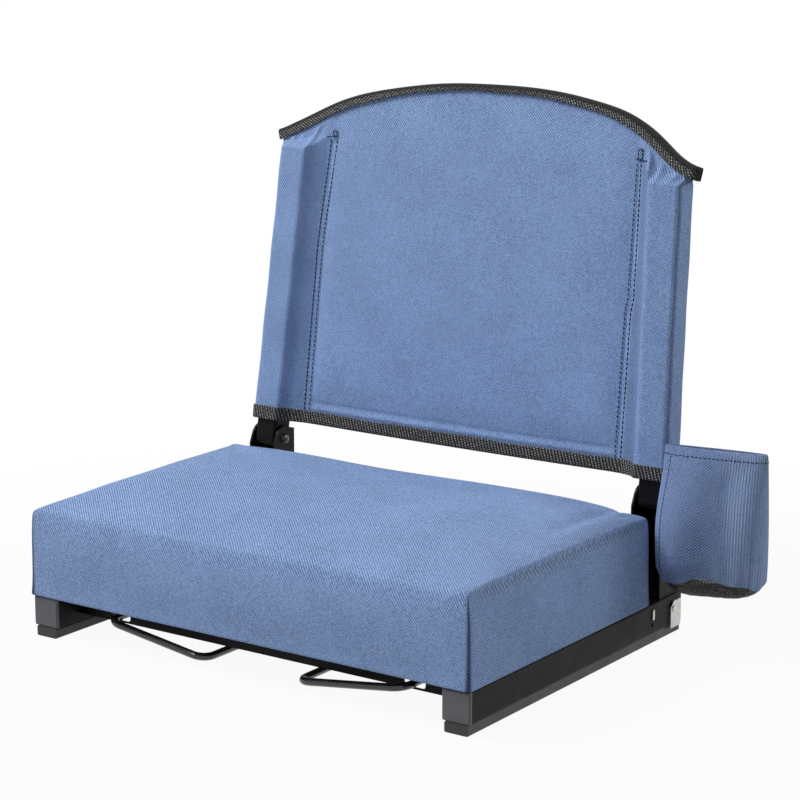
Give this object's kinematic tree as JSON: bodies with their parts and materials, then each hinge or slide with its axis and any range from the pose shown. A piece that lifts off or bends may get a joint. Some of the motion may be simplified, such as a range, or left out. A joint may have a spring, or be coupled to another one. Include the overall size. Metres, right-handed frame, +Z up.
{
  "type": "folding bleacher seat",
  "caption": "Folding bleacher seat: foam cushion on steel rails, a fabric back that folds forward, swinging wire bench hooks and a fabric cup holder at one side.",
  "frame": {"origin": "middle of the overall footprint, on the floor under the foot strips", "axes": "+X to the seat's right as seen from the front, where the cup holder is; +Y towards the back; +Z up"},
  "size_m": [0.5361, 0.3609, 0.4539],
  "materials": {
    "black_powder_coat": "satin black powder coat",
    "grey_black_plastic": "moulded, fine texture",
    "foot_plastic": "moulded, matte",
    "zinc_plate": "zinc plated",
    "black_rivet": "black oxide, smooth",
    "black_wire": "glossy black",
    "white_nylon": "plain",
    "plywood": "raw",
    "firm_foam": "open-cell foam",
    "soft_foam": "open-cell foam",
    "blue_cloth": "woven twill",
    "black_webbing": "ribbed webbing",
    "black_mesh": "open mesh"
  },
  "bodies": {
    "base": {"board_screw_front_left": "zinc_plate", "board_screw_front_right": "zinc_plate", "board_screw_rear_left": "zinc_plate", "board_screw_rear_right": "zinc_plate", "bracket_left": "black_powder_coat", "bracket_right": "black_powder_coat", "cup_mesh": "black_mesh", "cup_pouch_front": "blue_cloth", "cup_pouch_rear": "blue_cloth", "cup_tab": "black_webbing", "cup_tab_rivet": "zinc_plate", "edge_clip_left": "zinc_plate", "edge_clip_right": "zinc_plate", "foot_strip_left": "foot_plastic", "foot_strip_right": "foot_plastic", "front_cross_angle": "black_powder_coat", "hook_saddle_left": "black_powder_coat", "hook_saddle_right": "black_powder_coat", "pivot_rivet_left": "black_rivet", "pivot_rivet_right": "black_rivet", "pivot_washer_inner_left": "white_nylon", "pivot_washer_inner_right": "white_nylon", "pivot_washer_outer_left": "white_nylon", "pivot_washer_outer_right": "white_nylon", "rail_front_cap_left": "grey_black_plastic", "rail_front_cap_right": "grey_black_plastic", "rail_left": "black_powder_coat", "rail_rear_cap_left": "grey_black_plastic", "rail_rear_cap_right": "grey_black_plastic", "rail_right": "black_powder_coat", "rear_cross_angle": "black_powder_coat", "saddle_screw_inner_left": "zinc_plate", "saddle_screw_inner_right": "zinc_plate", "saddle_screw_outer_left": "zinc_plate", "saddle_screw_outer_right": "zinc_plate", "seat_board": "plywood", "seat_cover": "blue_cloth", "seat_foam_base": "firm_foam", "seat_foam_top": "soft_foam", "side_plate_left": "zinc_plate", "side_plate_right": "zinc_plate", "side_plate_rivet_left": "zinc_plate", "side_plate_rivet_right": "zinc_plate"},
    "backrest": {"back_pad": "soft_foam", "back_panel_front": "blue_cloth", "back_panel_rear": "blue_cloth", "bottom_binding": "black_webbing", "sleeve_left": "blue_cloth", "sleeve_right": "blue_cloth", "top_binding": "black_webbing", "upright_left": "black_powder_coat", "upright_plug_left": "grey_black_plastic", "upright_plug_right": "grey_black_plastic", "upright_right": "black_powder_coat"},
    "hook_left": {"hook_wire_left": "black_wire", "hook_push_nut_left": "zinc_plate"},
    "hook_right": {"hook_wire_right": "black_wire", "hook_push_nut_right": "zinc_plate"}
  },
  "joints": [
    {"name": "back_fold", "type": "hinge", "parent": "base", "child": "backrest", "pos_m": [-0.04323, 0.12873, 0.117], "axis": [1, 0, 0], "range_deg": [0, 97], "deforming": ["seat_cover", "seat_foam_top"]},
    {"name": "hook_swing_left", "type": "hinge", "parent": "base", "child": "hook_left", "pos_m": [-0.19423, -0.17977, 0.0215], "axis": [0, 1, 0], "range_deg": [-2.5, 82]},
    {"name": "hook_swing_right", "type": "hinge", "parent": "base", "child": "hook_right", "pos_m": [0.10777, -0.17977, 0.0215], "axis": [0, -1, 0], "range_deg": [-2.5, 82]}
  ]
}
